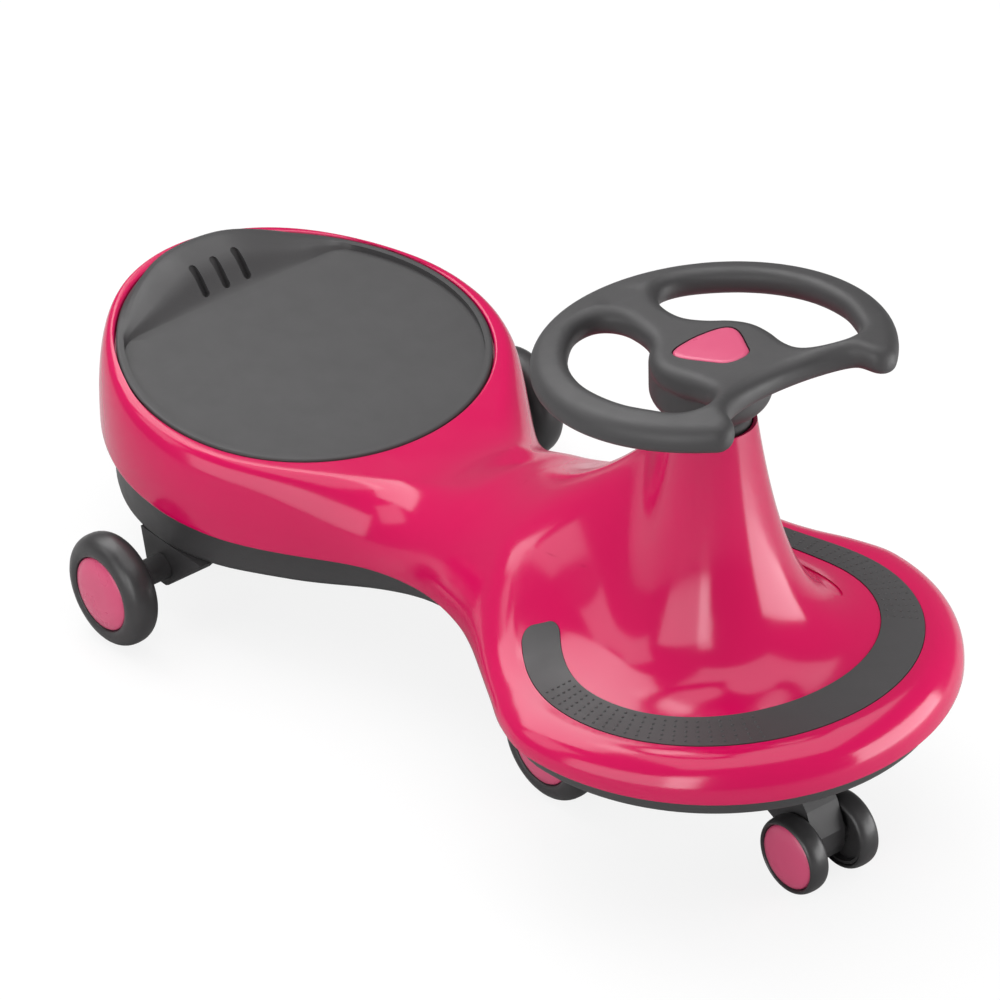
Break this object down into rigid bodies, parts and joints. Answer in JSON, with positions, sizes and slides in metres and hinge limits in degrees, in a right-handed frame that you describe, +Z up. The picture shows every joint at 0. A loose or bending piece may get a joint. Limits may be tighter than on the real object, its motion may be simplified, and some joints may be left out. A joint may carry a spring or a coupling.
{
  "type": "swing car",
  "caption": "Ride-on swing car: seat lobe and round foot deck on a narrow waist, flared column with an open steering wheel, and a yoke with trailing main wheels and small nose wheels.",
  "frame": {"origin": "on the floor under the middle of the car", "axes": "+X forward from the seat to the steering column, +Y to the rider's left, +Z up"},
  "size_m": [0.7838, 0.406, 0.3914],
  "materials": {
    "pink_plastic": "gloss",
    "grey_plastic": "fine matt grain",
    "dark_plastic": "matt",
    "tyre": "smooth, slightly shiny",
    "steel": "bright zinc",
    "nylon": "natural"
  },
  "bodies": {
    "car": {"body_shell": "pink_plastic", "under_tray": "dark_plastic", "seat_plate": "grey_plastic", "foot_grip_pad": "grey_plastic", "upper_column_bush": "nylon", "lower_column_bush": "nylon", "thrust_washer": "steel", "rear_axle": "steel", "rear_wheel_left_nut": "steel", "rear_wheel_right_nut": "steel", "rear_wheel_left_spacer": "nylon", "rear_wheel_right_spacer": "nylon"},
    "steering": {"steering_wheel": "grey_plastic", "wheel_centre_cap": "pink_plastic", "steering_shaft": "steel", "steering_nut": "steel", "front_yoke": "dark_plastic", "yoke_nut": "steel", "yoke_axle": "steel", "nose_axle": "steel", "yoke_wheel_left_nut": "steel", "yoke_wheel_right_nut": "steel", "yoke_wheel_left_spacer": "nylon", "yoke_wheel_right_spacer": "nylon", "nose_wheel_left_nut": "steel", "nose_wheel_right_nut": "steel"},
    "rear_wheel_left": {"rear_wheel_left_tyre": "tyre", "rear_wheel_left_core": "grey_plastic", "rear_wheel_left_cap": "pink_plastic"},
    "rear_wheel_right": {"rear_wheel_right_tyre": "tyre", "rear_wheel_right_core": "grey_plastic", "rear_wheel_right_cap": "pink_plastic"},
    "yoke_wheel_left": {"yoke_wheel_left_tyre": "tyre", "yoke_wheel_left_core": "grey_plastic", "yoke_wheel_left_cap": "pink_plastic"},
    "yoke_wheel_right": {"yoke_wheel_right_tyre": "tyre", "yoke_wheel_right_core": "grey_plastic", "yoke_wheel_right_cap": "pink_plastic"},
    "nose_wheel_left": {"nose_wheel_left_tyre": "tyre", "nose_wheel_left_core": "grey_plastic", "nose_wheel_left_cap": "pink_plastic"},
    "nose_wheel_right": {"nose_wheel_right_tyre": "tyre", "nose_wheel_right_core": "grey_plastic", "nose_wheel_right_cap": "pink_plastic"}
  },
  "joints": [
    {"name": "steering", "type": "hinge", "parent": "car", "child": "steering", "pos_m": [0.2226, 0, 0.2], "axis": [0, 0, 1], "continuous": true},
    {"name": "rear_wheel_left_spin", "type": "hinge", "parent": "car", "child": "rear_wheel_left", "pos_m": [-0.2157, 0.1874, 0.0427], "axis": [0, 1, 0], "continuous": true},
    {"name": "rear_wheel_right_spin", "type": "hinge", "parent": "car", "child": "rear_wheel_right", "pos_m": [-0.2157, -0.1874, 0.0427], "axis": [0, 1, 0], "continuous": true},
    {"name": "yoke_wheel_left_spin", "type": "hinge", "parent": "steering", "child": "yoke_wheel_left", "pos_m": [0.1341, 0.0721, 0.0427], "axis": [0, 1, 0], "continuous": true},
    {"name": "yoke_wheel_right_spin", "type": "hinge", "parent": "steering", "child": "yoke_wheel_right", "pos_m": [0.1341, -0.0721, 0.0427], "axis": [0, 1, 0], "continuous": true},
    {"name": "nose_wheel_left_spin", "type": "hinge", "parent": "steering", "child": "nose_wheel_left", "pos_m": [0.3301, 0.0226, 0.0313], "axis": [0, 1, 0], "continuous": true},
    {"name": "nose_wheel_right_spin", "type": "hinge", "parent": "steering", "child": "nose_wheel_right", "pos_m": [0.3301, -0.0226, 0.0313], "axis": [0, 1, 0], "continuous": true}
  ]
}
